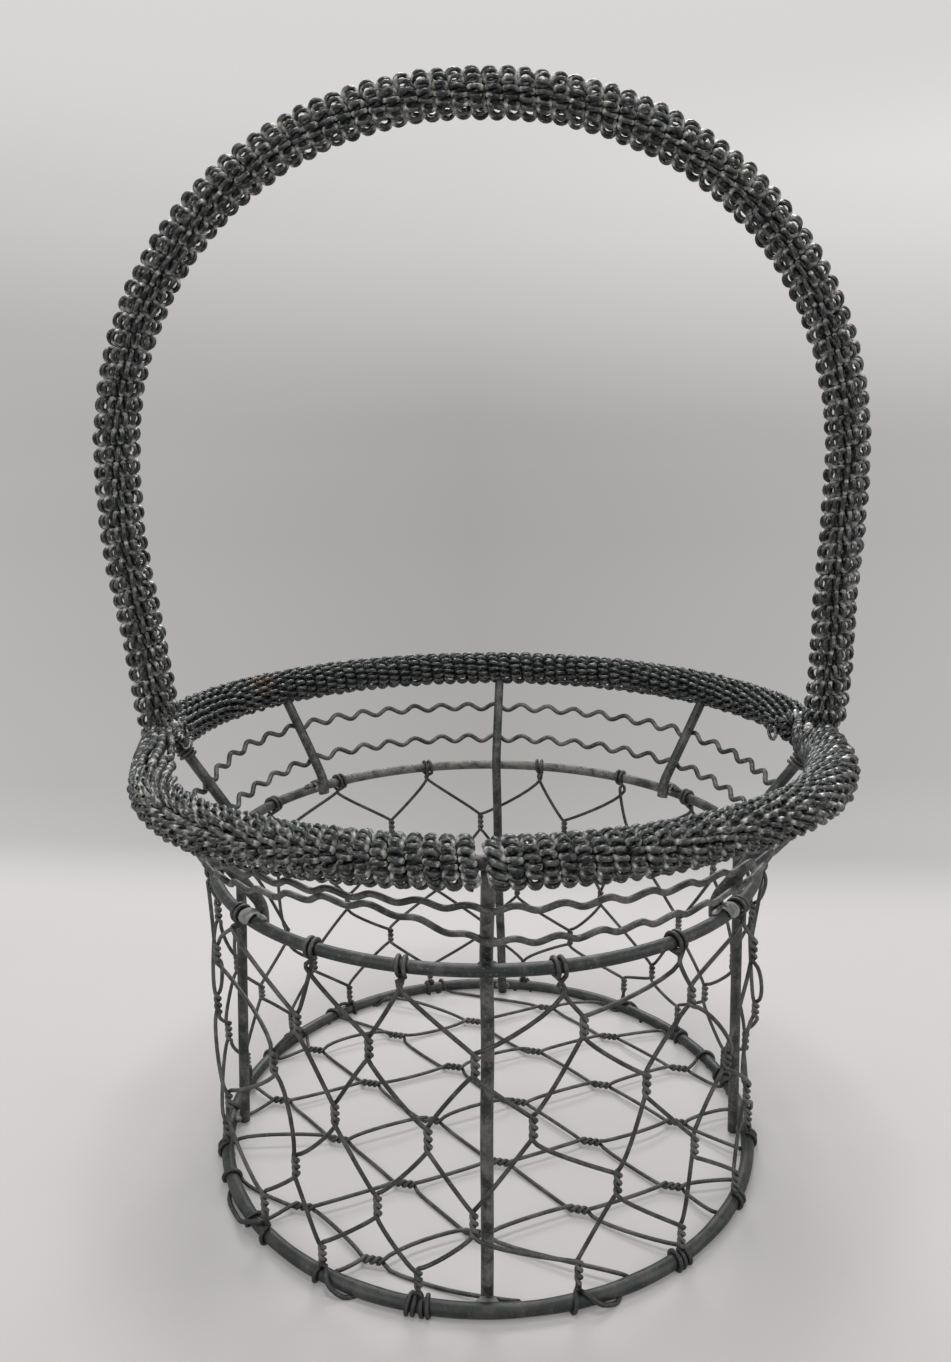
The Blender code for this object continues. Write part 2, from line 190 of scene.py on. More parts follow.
class Wire:
    # A socket, on which sums can be written as on a number.
    def __init__(self, tree, socket):
        self.tree = tree
        self.socket = socket

    def maths(self, operation, *inputs):
        return self.tree.node("ShaderNodeMath", {"operation": operation}, dict(enumerate(inputs)))

    def __add__(self, other):
        return self.maths("ADD", self, other)

    __radd__ = __add__

    def __sub__(self, other):
        return self.maths("SUBTRACT", self, other)

    def __rsub__(self, other):
        return self.maths("SUBTRACT", other, self)

    def __mul__(self, other):
        return self.maths("MULTIPLY", self, other)

    __rmul__ = __mul__

    def __truediv__(self, other):
        return self.maths("DIVIDE", self, other)

    def __abs__(self):
        return self.maths("ABSOLUTE", self)

    def between(self, low, high):
        return self.maths("MINIMUM", self.maths("MAXIMUM", self, low), high)

    def above(self, low, high):
        # 0 below low, 1 above high and a smooth step between them.
        settings = {"interpolation_type": "SMOOTHSTEP"}
        return self.tree.node("ShaderNodeMapRange", settings,
                              {"Value": self, "From Min": low, "From Max": high})


class Finish:
    # The node tree of a material, or of the world.
    def __init__(self, block, shader="Principled BSDF", output="Material Output",
                 placing="Object"):
        block.use_nodes = True
        self.block = block
        self.placing = placing
        self.nodes = block.node_tree.nodes
        self.links = block.node_tree.links
        self.shader = self.nodes[shader]
        self.output = self.nodes[output]

    def set(self, node, values):
        for key, value in values.items():
            if isinstance(value, Wire):
                self.links.new(value.socket, node.inputs[key])
            else:
                node.inputs[key].default_value = value

    def node(self, kind, settings, values, output=0):
        made = self.nodes.new(kind)
        for key, value in settings.items():
            if key == "stops":
                self.ramp(made, value)
            else:
                setattr(made, key, value)
        self.set(made, values)
        return Wire(self, made.outputs[output])

    def ramp(self, made, stops):
        steps = made.color_ramp.elements
        while len(steps) < len(stops):
            steps.new(0.5)
        for step, (place, colour) in zip(steps, stops):
            step.position = place
            step.color = (*colour, 1)

    def place(self):
        return self.node("ShaderNodeTexCoord", {}, {}, self.placing)

    def axis(self, name):
        return self.node("ShaderNodeSeparateXYZ", {}, {"Vector": self.place()}, name)

    def noise(self, size, detail=3.0, rough=0.55, warp=0.0):
        # Patches of about the given size, in metres.
        return self.node("ShaderNodeTexNoise", {"noise_dimensions": "3D"},
                         {"Vector": self.place(), "Scale": 1 / size, "Detail": detail,
                          "Roughness": rough, "Distortion": warp}, "Fac")

    def blend(self, first, second, factor):
        # Colours go in the Mix node's colour sockets.
        colours = [value if isinstance(value, Wire) else (*value, 1) for value in (first, second)]
        return self.node("ShaderNodeMix", {"data_type": "RGBA"},
                         {0: factor, 6: colours[0], 7: colours[1]}, 2)

    def distance(self, spot):
        return self.node("ShaderNodeVectorMath", {"operation": "DISTANCE"},
                         {0: self.place(), 1: spot}, "Value")

    def scaled(self, colour, factor):
        return self.node("ShaderNodeVectorMath", {"operation": "SCALE"},
                         {0: colour, "Scale": factor})

    def attribute(self, name):
        return self.node("ShaderNodeAttribute", {"attribute_name": name}, {}, "Fac")

    def seen(self):
        # 1 where the camera looks, directly or in a reflection.
        direct = self.node("ShaderNodeLightPath", {}, {}, "Is Camera Ray")
        return direct + self.node("ShaderNodeLightPath", {}, {}, "Is Glossy Ray")

    def bump(self, height, depth, strength):
        return self.node("ShaderNodeBump", {}, {"Height": height, "Distance": depth,
                                                "Strength": strength})

    def tones(self, stops, place):
        # A ramp of greys, a little tinted.
        stops = [(start, [shade * part for part in stage["tint"]]) for start, shade in stops]
        return self.node("ShaderNodeValToRGB", {"stops": stops}, {"Fac": place}, "Color")

    def cover(self, shown, share):
        # Shows another shader for a share of the whole.
        covered = Wire(self, self.shader.outputs[0])
        both = self.node("ShaderNodeMixShader", {}, {0: share, 1: covered, 2: shown})
        self.links.new(both.socket, self.output.inputs["Surface"])


# Finishes.

def agedFinish(name, look):
    # Old dark wire: mottled, rubbed pale on what stands out, with grit and a little rust.
    finish = Finish(bpy.data.materials.new(name))
    mottle = finish.noise(look["mottleSize"], 4, 0.6, 0.4)
    grit = finish.noise(look["gritSize"], 3, 0.65)
    cloud = finish.noise(look["cloudSize"], 2)
    rub = finish.attribute("rub")
    patches = (mottle + rub * 0.16 - 0.05).above(*look["mottleRange"])
    scuffs = (rub * look["rubGain"] + (mottle - 0.5) * look["mottleGain"]
              + (grit - 0.5) * look["gritGain"]).above(*look["scuffRange"])
    specks = grit.above(*look["speckRange"])
    rust = (cloud * 0.6 + grit * 0.4).above(*look["rustRange"]) * look["rust"]
    if "rustSpot" in look:
        nearness = 1 - finish.distance(look["rustSpot"]).above(*look["spotRange"])
        rust = rust + nearness * mottle.above(*look["spotMottle"]) * look["spotRust"]
    colour = finish.blend(look["dark"], look["mid"], patches)
    colour = finish.blend(colour, look["pale"], scuffs * look["paleAmount"])
    colour = finish.blend(colour, look["pale"], specks * look["speckAmount"])
    colour = finish.blend(colour, look["rustColour"], rust)
    finish.set(finish.shader, {
        "Base Color": colour,
        "Roughness": look["roughness"] + (grit - 0.5) * 0.3 + scuffs * 0.08,
        "Metallic": look["metallic"],
        "Normal": finish.bump(grit * 0.6 + mottle * 0.4, look["reliefDepth"], look["relief"]),
    })
    return finish.block


# Sizes are in metres. A range says from where to where an effect sets in.
wireLooks = {
    "dark": (0.018, 0.021, 0.0205), "mid": (0.058, 0.061, 0.058), "pale": (0.25, 0.243, 0.225),
    "mottleSize": 0.0042, "mottleRange": (0.4, 0.62), "gritSize": 0.0007, "cloudSize": 0.021,
    "speckRange": (0.6, 0.68), "speckAmount": 0.35, "paleAmount": 0.5,
    "rubGain": 0.9, "mottleGain": 1.3, "gritGain": 0.9, "scuffRange": (0.35, 0.95),
    "rustColour": (0.095, 0.06, 0.036), "rust": 0.1, "rustRange": (0.585, 0.66),
    "roughness": 0.5, "metallic": 0.25, "relief": 0.5, "reliefDepth": 0.00012,
}
frameFinish = agedFinish("frameWire", wireLooks)
baseFinish = agedFinish("baseHoopWire", wireLooks | {
    "dark": (0.016, 0.02, 0.0195), "mid": (0.044, 0.046, 0.042), "paleAmount": 0.25,
    "mottleSize": 0.007, "mottleRange": (0.42, 0.6), "speckAmount": 0.2})
netFinish = agedFinish("nettingWire", wireLooks | {
    "dark": (0.022, 0.024, 0.023), "mid": (0.062, 0.064, 0.06), "paleAmount": 0.4})
coilFinish = agedFinish("coiledWire", wireLooks | {
    "dark": (0.016, 0.019, 0.0185), "mid": (0.075, 0.08, 0.078), "pale": (0.6, 0.595, 0.57),
    "paleAmount": 0.9, "mottleSize": 0.0028, "mottleRange": (0.38, 0.56), "rubGain": 1.15,
    "rust": 0.05, "rustColour": (0.15, 0.09, 0.045), "rustSpot": (-0.0739, 0.0545, 0.1295),
    "spotRange": (0.0015, 0.006), "spotMottle": (0.34, 0.56), "spotRust": 0.85,
    "roughness": 0.34, "metallic": 0.4})
weldFinish = agedFinish("weldMetal", wireLooks | {
    "mid": (0.12, 0.122, 0.117), "pale": (0.33, 0.325, 0.31), "paleAmount": 0.8})
print("finishes made")


# Hoops.

def hoopFrom(node, wire):
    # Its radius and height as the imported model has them.
    low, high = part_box(node)
    return {"radius": (high[0] - low[0]) / 2 - wire / 2, "height": (high[2] + low[2]) / 2,
            "wire": wire}


baseHoop = hoopFrom("base_hoop", 0.004)
baseHoop["height"] = baseHoop["wire"] / 2       # a round wire stands on z = 0
waistHoop = hoopFrom("waist_hoop", 0.0032)
rimHoop = {"radius": 0.0954, "height": 0.1245, "wire": 0.0032}
# Beside the handle's feet the rim hangs a little and stands in: by azimuth, in millimetres.
rimDips = {-100: 0, -90: 1.2, -80: 2.2, -62: 2.2, -48: 1.8, -34: 1.2, -18: 0,
           40: 0, 52: 1.2, 66: 1.8, 82: 1.7, 92: 0.8, 100: 0}
rimInsets = {-118: 0, -100: 1.2, -88: 2.6, -76: 2.8, -64: 1.2, -50: 0,
             70: 0, 82: 0.6, 92: 0.9, 108: 0}
hoopSteps = 240
hoopWaves = (7, 12, 19, 29)         # how often a lumpy hoop gets thinner on its way round


def byAzimuth(table, azimuth, blur=(-8, -4, 0, 4, 8)):
    # Looks an azimuth up in a table of degrees, softly.
    degrees = (np.degrees(azimuth) + 180) % 360 - 180
    return sum(np.interp(degrees + slip, list(table), list(table.values()))
               for slip in blur) / len(blur)


def rimSpot(azimuth, out=0.0, up=0.0):
    # A place given from the middle of the rim's wire.
    return spotAt(rimHoop["radius"] - byAzimuth(rimInsets, azimuth) / 1000 + out, azimuth,
                  rimHoop["height"] - byAzimuth(rimDips, azimuth) / 1000 + up)


def layHoop(node, hoop, finish, frontPaleness, rearPaleness, lumps=0.0):
    places = np.arange(hoopSteps) * turn / hoopSteps
    line = rimSpot(places) if hoop is rimHoop else spotAt(hoop["radius"], places, hoop["height"])
    waves = sum(1 + np.sin(places * count + count) for count in hoopWaves) / len(hoopWaves)
    layWire(node + "_wire", node, line, hoop["wire"], finish, 16, True, widths=1 - lumps * waves,
            rub=mixed(frontPaleness, rearPaleness, (1 - np.cos(places)) / 2))


layHoop("base_hoop", baseHoop, baseFinish, frontPaleness=0.25, rearPaleness=0.25, lumps=0.07)
# The waist hoop is made darker at the front and paler towards the rear.
layHoop("waist_hoop", waistHoop, frameFinish, frontPaleness=-0.4, rearPaleness=0.75)
layHoop("rim_hoop", rimHoop, frameFinish, frontPaleness=0.1, rearPaleness=0.1)
print("hoops laid")


# Ribs.

rib = {"wire": 0.0032, "gap": 0.0003, "footDrop": 0.001, "flareDrop": 0.4, "corner": 0.0032,
       "stemPoints": 24, "flareStemPoints": 3, "cornerPoints": 7, "risePoints": 8,
       "sway": 0.0004, "swayRate": 40, "rub": 0.4, "frontPaleness": 0.62,
       "flattened": 0.3, "flatReach": 0.28, "flatThin": 0.6, "flatRub": 1.4}
# Azimuths at the foot, the waist and the rim: some ribs lean sideways.
ribAzimuths = {
    "rib_front": (-1, -0.6, -0.45), "rib_right": (82, 88.5, 86.5),
    "rib_rear": (174.5, 176.2, 175.6), "rib_left": (272, 263.5, 263.5),
    "flare_rib_front_right": (50, 50, 50), "flare_rib_rear_right": (126, 126, 126),
    "flare_rib_rear_left": (227, 227, 227.5), "flare_rib_front_left": (310.5, 310.5, 310.5),
}
flareRibs = [node for node in ribAzimuths if node.startswith("flare")]
fullRibs = [node for node in ribAzimuths if node not in flareRibs]


def ribSlope():
    # The bend above the waist and the middle of the rim, as radius and height.
    clear = rib["gap"] + rib["wire"] / 2
    bend = np.array((waistHoop["radius"] - waistHoop["wire"] / 2 - clear,
                     waistHoop["height"] + rib["wire"]))
    rim = np.array((rimHoop["radius"], rimHoop["height"]))
    return bend, rim, (rim - bend) / np.linalg.norm(rim - bend)


def ribProfile(full):
    bend, rim, run = ribSlope()
    if full:
        clear = baseHoop["wire"] / 2 + rib["gap"] + rib["wire"] / 2
        foot = np.array((baseHoop["radius"] - clear, baseHoop["height"] - rib["footDrop"]))
    else:
        foot = np.array((bend[0], waistHoop["height"] - waistHoop["wire"] * rib["flareDrop"]))
    before, after = bend - unit(bend - foot) * rib["corner"], bend + run * rib["corner"]
    top = rim - run * (rimHoop["wire"] / 2 + rib["gap"])
    below = column(np.linspace(0, 1, rib["stemPoints"] if full else rib["flareStemPoints"]))
    bent = column(np.linspace(0, 1, rib["cornerPoints"]))
    above = column(np.linspace(0, 1, rib["risePoints"]))
    arc = before * (1 - bent) ** 2 + bend * 2 * bent * (1 - bent) + after * bent ** 2
    return np.vstack([mixed(foot, before, below[:-1]), arc, mixed(after, top, above[1:])])


def ribAzimuth(node, height):
    levels = (baseHoop["height"], waistHoop["height"], rimHoop["height"])
    return np.radians(np.interp(height, levels, ribAzimuths[node]))


def layRibs():
    for number, node in enumerate(ribAzimuths):
        radii, heights = ribProfile(node in fullRibs).T
        shares = np.linspace(0, 1, len(heights))
        sway = rib["sway"] * drift(heights * rib["swayRate"], 1.0, 30 + number)
        side = rightwardAt(ribAzimuth(node, waistHoop["height"]))
        line = (spotAt(radii, ribAzimuth(node, heights), heights)
                + side * column(sway * np.sin(shares * math.pi)))
        flatness = 0 if node in fullRibs else rib["flattened"]
        flat = flatness * np.exp(-(shares / rib["flatReach"]) ** 2)
        over = np.cross(unit(np.gradient(line, axis=0)), side)
        frames = side * column(1 + flat), over * column(1 - flat * rib["flatThin"])
        rub = rib["frontPaleness"] if node == "rib_front" else rib["rub"]
        layWire(node + "_wire", node, line, rib["wire"], frameFinish, 12, frames=frames,
                rub=rub + rib["flatRub"] * flat)


layRibs()
print("ribs laid")


# Welds where the ribs meet the hoops.

weld = {"points": 9, "sides": 9, "lump": 0.16, "rub": 0.6}
ribWelds = {
    "waist_welds": {"hoop": waistHoop, "ribs": list(ribAzimuths), "above": 0.0004,
                    "length": 0.0052, "width": 0.0026, "seed": 60},
    "base_welds": {"hoop": baseHoop, "ribs": fullRibs, "above": 0.0006,
                   "length": 0.0056, "width": 0.0028, "seed": 70},
}


def weldBead(spot, ahead, length, width, seed):
    shares = np.linspace(-1, 1, weld["points"])
    widths = np.sqrt(1.03 - shares ** 2) * (1 + weld["lump"] * drift(shares, 5.0, seed))
    return roundWire(spot + ahead * column(shares * length / 2), width, weld["sides"],
                     widths=widths, rub=weld["rub"])


def weldRibs():
    for name, facts in ribWelds.items():
        hoop = facts["hoop"]
        meet = hoop["radius"] - (hoop["wire"] + rib["gap"]) / 2
        beads = []
        for number, node in enumerate(facts["ribs"]):
            azimuth = ribAzimuth(node, hoop["height"])
            spot = spotAt(meet, azimuth, hoop["height"] + facts["above"])
            beads.append(weldBead(spot, rightwardAt(azimuth), facts["length"], facts["width"],
                                  facts["seed"] + number))
        layPiece(name, beads, weldFinish)


# The flare ribs' lower ends: hammered flat and bent over the waist hoop, with a small tongue.
strap = {"thick": 0.0013, "wide": 3.6, "over": (170, -8), "points": 15, "sides": 14,
         "sway": 0.0004, "uneven": 0.1, "rub": 0.75}
tongue = {"length": 0.0042, "width": 0.0015, "aside": 0.0042, "inward": 0.0007, "up": 0.0019}


def layStraps():
    ends = []
    for number, node in enumerate(flareRibs):
        azimuth = ribAzimuth(node, waistHoop["height"])
        side = rightwardAt(azimuth)
        shares = np.linspace(0, 1, strap["points"])
        around = circled(outwardAt(azimuth), upward, np.radians(mixed(*strap["over"], shares)))
        line = (spotAt(waistHoop["radius"], azimuth, waistHoop["height"])
                + around * (waistHoop["wire"] + strap["thick"]) / 2
                + side * column(strap["sway"] * drift(shares, 3.0, 84 + number)))
        widths = (np.sqrt(np.clip(1.02 - (2 * shares - 1) ** 6, 0, 1))
                  * (1 + strap["uneven"] * drift(shares, 6.0, 80 + number)))
        flat = np.broadcast_to(side * strap["wide"], line.shape)
        ends.append(roundWire(line, strap["thick"], strap["sides"], widths=widths,
                              frames=(flat, around), rub=strap["rub"]))
        frontward = -1 if 0 < azimuth < math.pi else 1
        tip = azimuth + frontward * tongue["aside"] / waistHoop["radius"]
        spot = spotAt(waistHoop["radius"] - tongue["inward"], tip,
                      waistHoop["height"] + tongue["up"])
        ends.append(weldBead(spot, rightwardAt(tip), tongue["length"], tongue["width"],
                             90 + number))
    layPiece("flare_rib_ends", ends, weldFinish)


weldRibs()
layStraps()
print("ribs welded")


# Crimped rings.

crimp = {"wire": 0.0016, "pitch": 0.01, "depth": 0.0023, "uneven": 0.12, "rub": 0.5,
         "steps": 14, "soft": 25,
         "places": {"lower_crimped_ring": 0.222, "upper_crimped_ring": 0.962}}
# How much higher than elsewhere each ring runs at some azimuths, in millimetres.
ringRises = {
    "lower_crimped_ring": {-180: 0, -137: 0.2, -125: -1, -108: -3, -98: -4, -75: -1, -50: 3.9,
                           -35: 8, -26: 12, -20: 12.5, -14: 11, -7.5: 5, -1: -0.5, 20: 0, 70: -1,
                           98: -3, 108: -2, 124: -0.5, 180: 0},
    "upper_crimped_ring": {-180: 0.2, -142: 0.7, -131: 0.4, -116: -1, -104: -4.5, -95: -6,
                           -60: -1, -35: 3, -22: 3.8, -13: 4, -7: 2.6, 0: 1.2, 20: 1.6, 40: 1,
                           60: -1, 93: -4.7, 111: -3, 124: -1.8, 132: -1, 180: 0.2},
}
binding = {"wire": 0.00115, "gap": 0.00045, "turns": 3, "steps": 16, "cutEnd": (0.5, 1.1, 1.7)}
rimSleeve = {"outer": 0.0115}


def layCrimpedRings():
    bend, rim, run = ribSlope()
    away = np.array((run[1], -run[0])) * (rib["wire"] / 2 + rib["gap"] + crimp["wire"] / 2)
    room = rib["gap"] + (crimp["depth"] + crimp["wire"]) / 2
    taken = binding["turns"] * (binding["wire"] + binding["gap"]) + binding["wire"]
    low = waistHoop["wire"] + room
    high = np.linalg.norm(rim - bend) - rimSleeve["outer"] / 2 - rib["gap"] - taken - room
    for number, (node, share) in enumerate(crimp["places"].items()):
        middle = bend + run * mixed(low, high, share) + away
        waves = round(turn * middle[0] / crimp["pitch"])
        azimuths = np.arange(waves * crimp["steps"]) * turn / (waves * crimp["steps"])
        uneven = 1 + crimp["uneven"] * drift(azimuths, 9.0, 50 + number)
        wave = -np.cos(azimuths * waves) * uneven
        rises = byAzimuth(ringRises[node], azimuths, blur=(0,)) / 1000
        soft = np.hanning(crimp["soft"] + 2)
        rises = np.convolve(np.concatenate([rises] * 3), soft / soft.sum(), "same")
        rises = rises[len(azimuths):2 * len(azimuths)]
        crests = middle + run * column(wave * crimp["depth"] / 2 + rises)
        line = spotAt(crests[:, 0], azimuths, crests[:, 1])
        layWire(node + "_wire", node, line, crimp["wire"], frameFinish, closed=True,
                rub=crimp["rub"])


layCrimpedRings()
print("crimped rings laid")


# Coiled-wire sleeves: a thin wire is coiled, and the coil is wound round the core.

rimSleeve |= {"wire": 0.00112, "flat": 1.14, "frontPitch": 0.00352, "rearPitch": 0.0044,
              "jitter": 0.14, "openAt": (180,), "open": 0.34}
rimRuns = {
    "rim_coil_front_right": {"from": 0.0, "to": 88.0, "begin": 0, "seed": 110, "chunky": 0.5,
                             "rub": 1.1, "loops": 15.4,
                             "feather": {40: 0, 64: 1, 80: 1, 90: 0.7}},
    # The rear run gets less rub and stays darker: partly less wear, partly painted shade for its
    # unlit inner side.
    "rim_coil_rear": {"from": 93.5, "to": 265.5, "begin": 0, "seed": 120, "chunky": 0.0,
                      "rub": 0.4, "loops": 15.5, "feather": {0: 0}},
    "rim_coil_front_left": {"from": -2.3, "to": -68.0, "begin": 0.55, "seed": 130, "chunky": 0.12,
                            "rub": 1.3, "loops": 15.4, "feather": {-74: 0.5, -50: 0}},
}
# How many times thicker than elsewhere the rim's sleeve is, by azimuth.
rimSwells = {-180: 1.06, -135: 1.07, -112: 1.15, -96: 1.18, -72: 1.08, -50: 1.12, -36: 1.13,
             -24: 1.1, -12: 1.03, 40: 1.03, 58: 1.12, 80: 1.08, 96: 1.1, 115: 1.05, 180: 1.06}
handleSleeve = {"outer": 0.0125, "wire": 0.00108, "flat": 1.1, "loops": 15.2,
                "pitch": 0.00434, "lowest": 0.1306, "lowestRight": 0.1279, "jitter": 0.09,
                "openAt": (90, 270), "open": 0.26, "rub": 1.4}
handle = {"halfWidth": 0.1004, "bulge": 0.005, "widest": 0.198, "topRise": 0.097,
          "squareness": 2.1, "foot": 0.1264, "wire": 0.0032, "footBend": 0.009,
          "legPoints": 125, "archPoints": 251}
# Low down both legs stand a little to the right: by how much, from which height, over what.
legShifts = {"left": (0.0020, 0.186, 0.036), "right": (0.0026, 0.170, 0.040)}
coil = {"steps": 12, "sides": 6, "sparseness": 6, "lean": -0.2, "overlap": 0.0001,
        "featherLean": 0.95, "featherReach": 0.0013, "featherWidth": 0.5,
        "firstTurns": 0.9, "firstLean": 0.9, "firstWidth": 0.7, "firstWire": 0.45, "rub": 0.62}
# How far loops stray from an even coil, how often in a turn, and with which seed.
strays = {"count": (0.03, 0.23, 0), "loop": (1, 23.0, 1), "place": (0.06, 0.9, 2),
          "lean": (1, 9.0, 3), "slant": (0.1, 11.0, 4), "height": (0.07, 21.0, 5),
          "width": (0.05, 17.0, 6), "rub": (0.6, 29.0, 7), "featherLean": (0.25, 8.0, 8),
          "featherReach": (0.8, 19.0, 9)}


def softStep(values):
    values = np.clip(values, 0, 1)
    return values * values * (3 - 2 * values)


def legShift(line):
    shifts = [amount * softStep((top - line[:, 2]) / over)
              for amount, top, over in (legShifts["left"], legShifts["right"])]
    return np.where(line[:, 0] < 0, *shifts)


def handleLine():
    # The handle's core: a leg that leans out, a squared ellipse and the other leg.
    shares = np.linspace(0, 1, handle["legPoints"], endpoint=False)
    leg = np.stack([handle["halfWidth"] - handle["bulge"] * (1 - shares) ** 2, 0 * shares,
                    mixed(handle["foot"], handle["widest"], shares)], 1)
    angles = np.linspace(0, math.pi, handle["archPoints"])
    power = 2 / handle["squareness"]
    side = np.sign(np.cos(angles)) * np.abs(np.cos(angles)) ** power
    rise = np.abs(np.sin(angles)) ** power
    arch = np.stack([side * handle["halfWidth"], 0 * angles,
                     handle["widest"] + rise * handle["topRise"]], 1)
    return np.vstack([leg, arch, (leg * (-1, 1, 1))[::-1]])


def windCoil(name, node, core, axis, sleeve, pitches, seed, chunky=0.0, wearAndShade=1.0, begin=0.0,
             feathered=0.0, swollen=1.0):
    # The core lies in one plane, whose normal is the axis. Pitches holds each core point's.
    # Feathered says how far, from 0 to 1, the loops there lean outwards like feathers.
    # Swollen is how many times thicker the sleeve is there.
    def stray(kind):
        amount, rate, offset = strays[kind]
        return amount * drift(places, rate, seed + offset)

    reach = distancesAlong(core)
    turnsAt = summed(np.diff(reach) / ((pitches[1:] + pitches[:-1]) / 2))
    places = np.linspace(0, turnsAt[-1], int(turnsAt[-1] * sleeve["loops"] * coil["steps"]))
    angle = (places + begin) * turn
    sparse = sum(np.exp(coil["sparseness"] * (np.cos(angle - math.radians(at)) - 1))
                 for at in sleeve["openAt"])
    loops = sleeve["loops"] * (1 + stray("count") - sleeve["open"] * sparse
                               + sleeve["jitter"] * stray("loop"))
    phase = turn * summed(loops[:-1] * np.diff(places))
    pitch, plumed, swell = (np.interp(places, turnsAt, values + 0 * turnsAt)
                            for values in (pitches, feathered, swollen))
    along = np.interp(places, turnsAt, reach) + pitch * stray("place")
    along = np.clip(along, 0, reach[-1])
    centre = rowsAt(along, reach, core)
    tangent = unit(rowsAt(along, reach, unit(np.gradient(core, reach, axis=0))))
    radial = circled(axis, np.cross(tangent, axis), angle)
    around = np.cross(tangent, radial)
    outside = (sleeve["outer"] * swell - sleeve["wire"]) / 2
    inside = sleeve["loops"] * sleeve["wire"] / turn            # there the loops touch
    first = chunky * np.exp(-(places / coil["firstTurns"]) ** 4)    # a coil's loose first turn
    lean = (coil["lean"] + sleeve["jitter"] * stray("lean") + coil["firstLean"] * first
            + coil["featherLean"] * plumed * (1 + stray("featherLean")))
    height = ((outside - inside) * (1 + stray("height"))
              + plumed * np.clip(np.sin(angle), 0, 1) * coil["featherReach"]
              * (1 + stray("featherReach"))) / 2
    width = ((pitch - sleeve["wire"]) / 2 + coil["overlap"]) * (1 + stray("width"))
    width = width * (1 + coil["firstWidth"] * first + coil["featherWidth"] * plumed)
    swing, sweep = np.cos(phase), np.sin(phase)
    line = (centre + radial * column(inside + height * (1 + swing))
            + around * column(height * swing * stray("slant"))
            + circled(tangent, around, lean, width * sweep))
    forward = unit(np.gradient(line, axis=0))
    across = unit(np.cross(forward, around))
    ends = np.abs(sweep) ** 2.5 * (0.35 + 0.65 * (swing > -0.6))     # the loops' outer ends
    # The scale below sets how pale the loops' ends get: wear, and on the rim's rear run, where it
    # is low, also painted shade.
    worn = wearAndShade * ends * np.clip(coil["rub"] + stray("rub"), 0, 1)
    layWire(name, node, line, sleeve["wire"], coilFinish, coil["sides"],
            widths=1 + coil["firstWire"] * first, rub=worn,
            frames=(across, np.cross(forward, across) * sleeve["flat"]))


def windRim():
    for name, run in rimRuns.items():
        degrees = abs(run["to"] - run["from"])
        azimuths = np.radians(np.linspace(run["from"], run["to"], int(degrees * 2)))
        core = rimSpot(azimuths)
        frontness = 0.5 - core[:, 1] / rimHoop["radius"] / 2     # packed closer at the front
        pitches = mixed(rimSleeve["rearPitch"], rimSleeve["frontPitch"], frontness)
        windCoil(name, "rim_sleeve", core, upward, rimSleeve | {"loops": run["loops"]}, pitches,
                 run["seed"], run["chunky"], run["rub"], run["begin"],
                 byAzimuth(run["feather"], azimuths), byAzimuth(rimSwells, azimuths))


def windHandle():
    core = handleLine()
    shift = legShift(core)
    wire = core.copy()
    wire[:, 0] += shift * softStep((core[:, 2] - handle["foot"]) / handle["footBend"])
    layWire("handle_core_wire", "handle_core", wire, handle["wire"], frameFinish, 10, rub=0.2)
    core[:, 0] += shift
    lowest = np.where(core[:, 0] > 0, handleSleeve["lowestRight"], handleSleeve["lowest"])
    core = core[core[:, 2] > lowest]
    pitches = np.full(len(core), handleSleeve["pitch"])
    windCoil("handle_coil", "handle_sleeve", core, np.array((0.0, 1.0, 0.0)), handleSleeve,
             pitches, 210, wearAndShade=handleSleeve["rub"])


windRim()
windHandle()
print("sleeves wound")


# Where the handle meets the rim: tight thin coils that run on from its sleeve.

strand = {"outer": 0.0023, "wire": 0.00092, "pitch": 0.00108, "steps": 10, "sides": 6}
leftFoot = {"azimuth": -90.5, "reach": 24.0, "seed": 300, "jitter": 6, "snug": 0.0040,
            "tips": (0.0033, 0.0033), "shortest": 1, "thick": 1.0, "bits": 18, "spread": (-7, 1),
            "fan": (-150, -110, -65, -25, 15, 50, 75, 100, 140, 180)}
rightFoot = {"azimuth": 93.0, "reach": -12.0, "seed": 340, "jitter": 9, "snug": 0.0037,
             "tips": (0.0036, 0.0048), "shortest": 0.55, "thick": 1.1, "bits": 36,
             "spread": (-9, 3), "fan": (-150, -105, -60, -20, 20, 60, 100, 140, 185)}
fan = {"points": 7, "start": 0.0052, "rise": 0.0007, "opening": 2.6, "trail": 2.2}
collars = {"side": 0.0956, "turns": 1.15, "points": 12, "rise": 0.0006, "thick": 1.25}
bit = {"sections": (-60, 190), "half": (0.001, 0.002), "out": (0.0046, 0.0054),
       "bow": 0.0005, "thick": (1.3, 1.6)}
# One strand of the left foot turns back over the rim: azimuths, sections and distances.
turnedBack = ((-90, 110, 0.005), (-88, 140, 0.0056), (-89, 172, 0.0062), (-92, 200, 0.0066),
              (-95, 180, 0.006))


def footSpot(degrees, section, distance):
    angle = math.radians(section)
    return rimSpot(math.radians(degrees), distance * math.cos(angle), distance * math.sin(angle))


def windStrand(points, seed, thick=1.0):
    # A tight thin coil round a soft curve through the points.
    step = strand["pitch"] * thick / strand["steps"]
    centre = smoothLine(points, step)
    reach = distancesAlong(centre)
    centre = rowsAt(np.arange(0, reach[-1], step), reach, centre)
    places = np.arange(len(centre)) / strand["steps"]
    angles = turn * places + 0.5 * drift(places, 0.7, seed)
    radii = (strand["outer"] - strand["wire"]) / 2 * (1 + 0.1 * drift(places, 2.1, seed + 1))
    line = centre + circled(*crossFrames(centre, False), angles, radii * thick)
    rubs = 0.25 + 0.5 * drift(places, 1.3, seed + 2)
    return roundWire(line, strand["wire"] * thick, strand["sides"], rub=rubs)


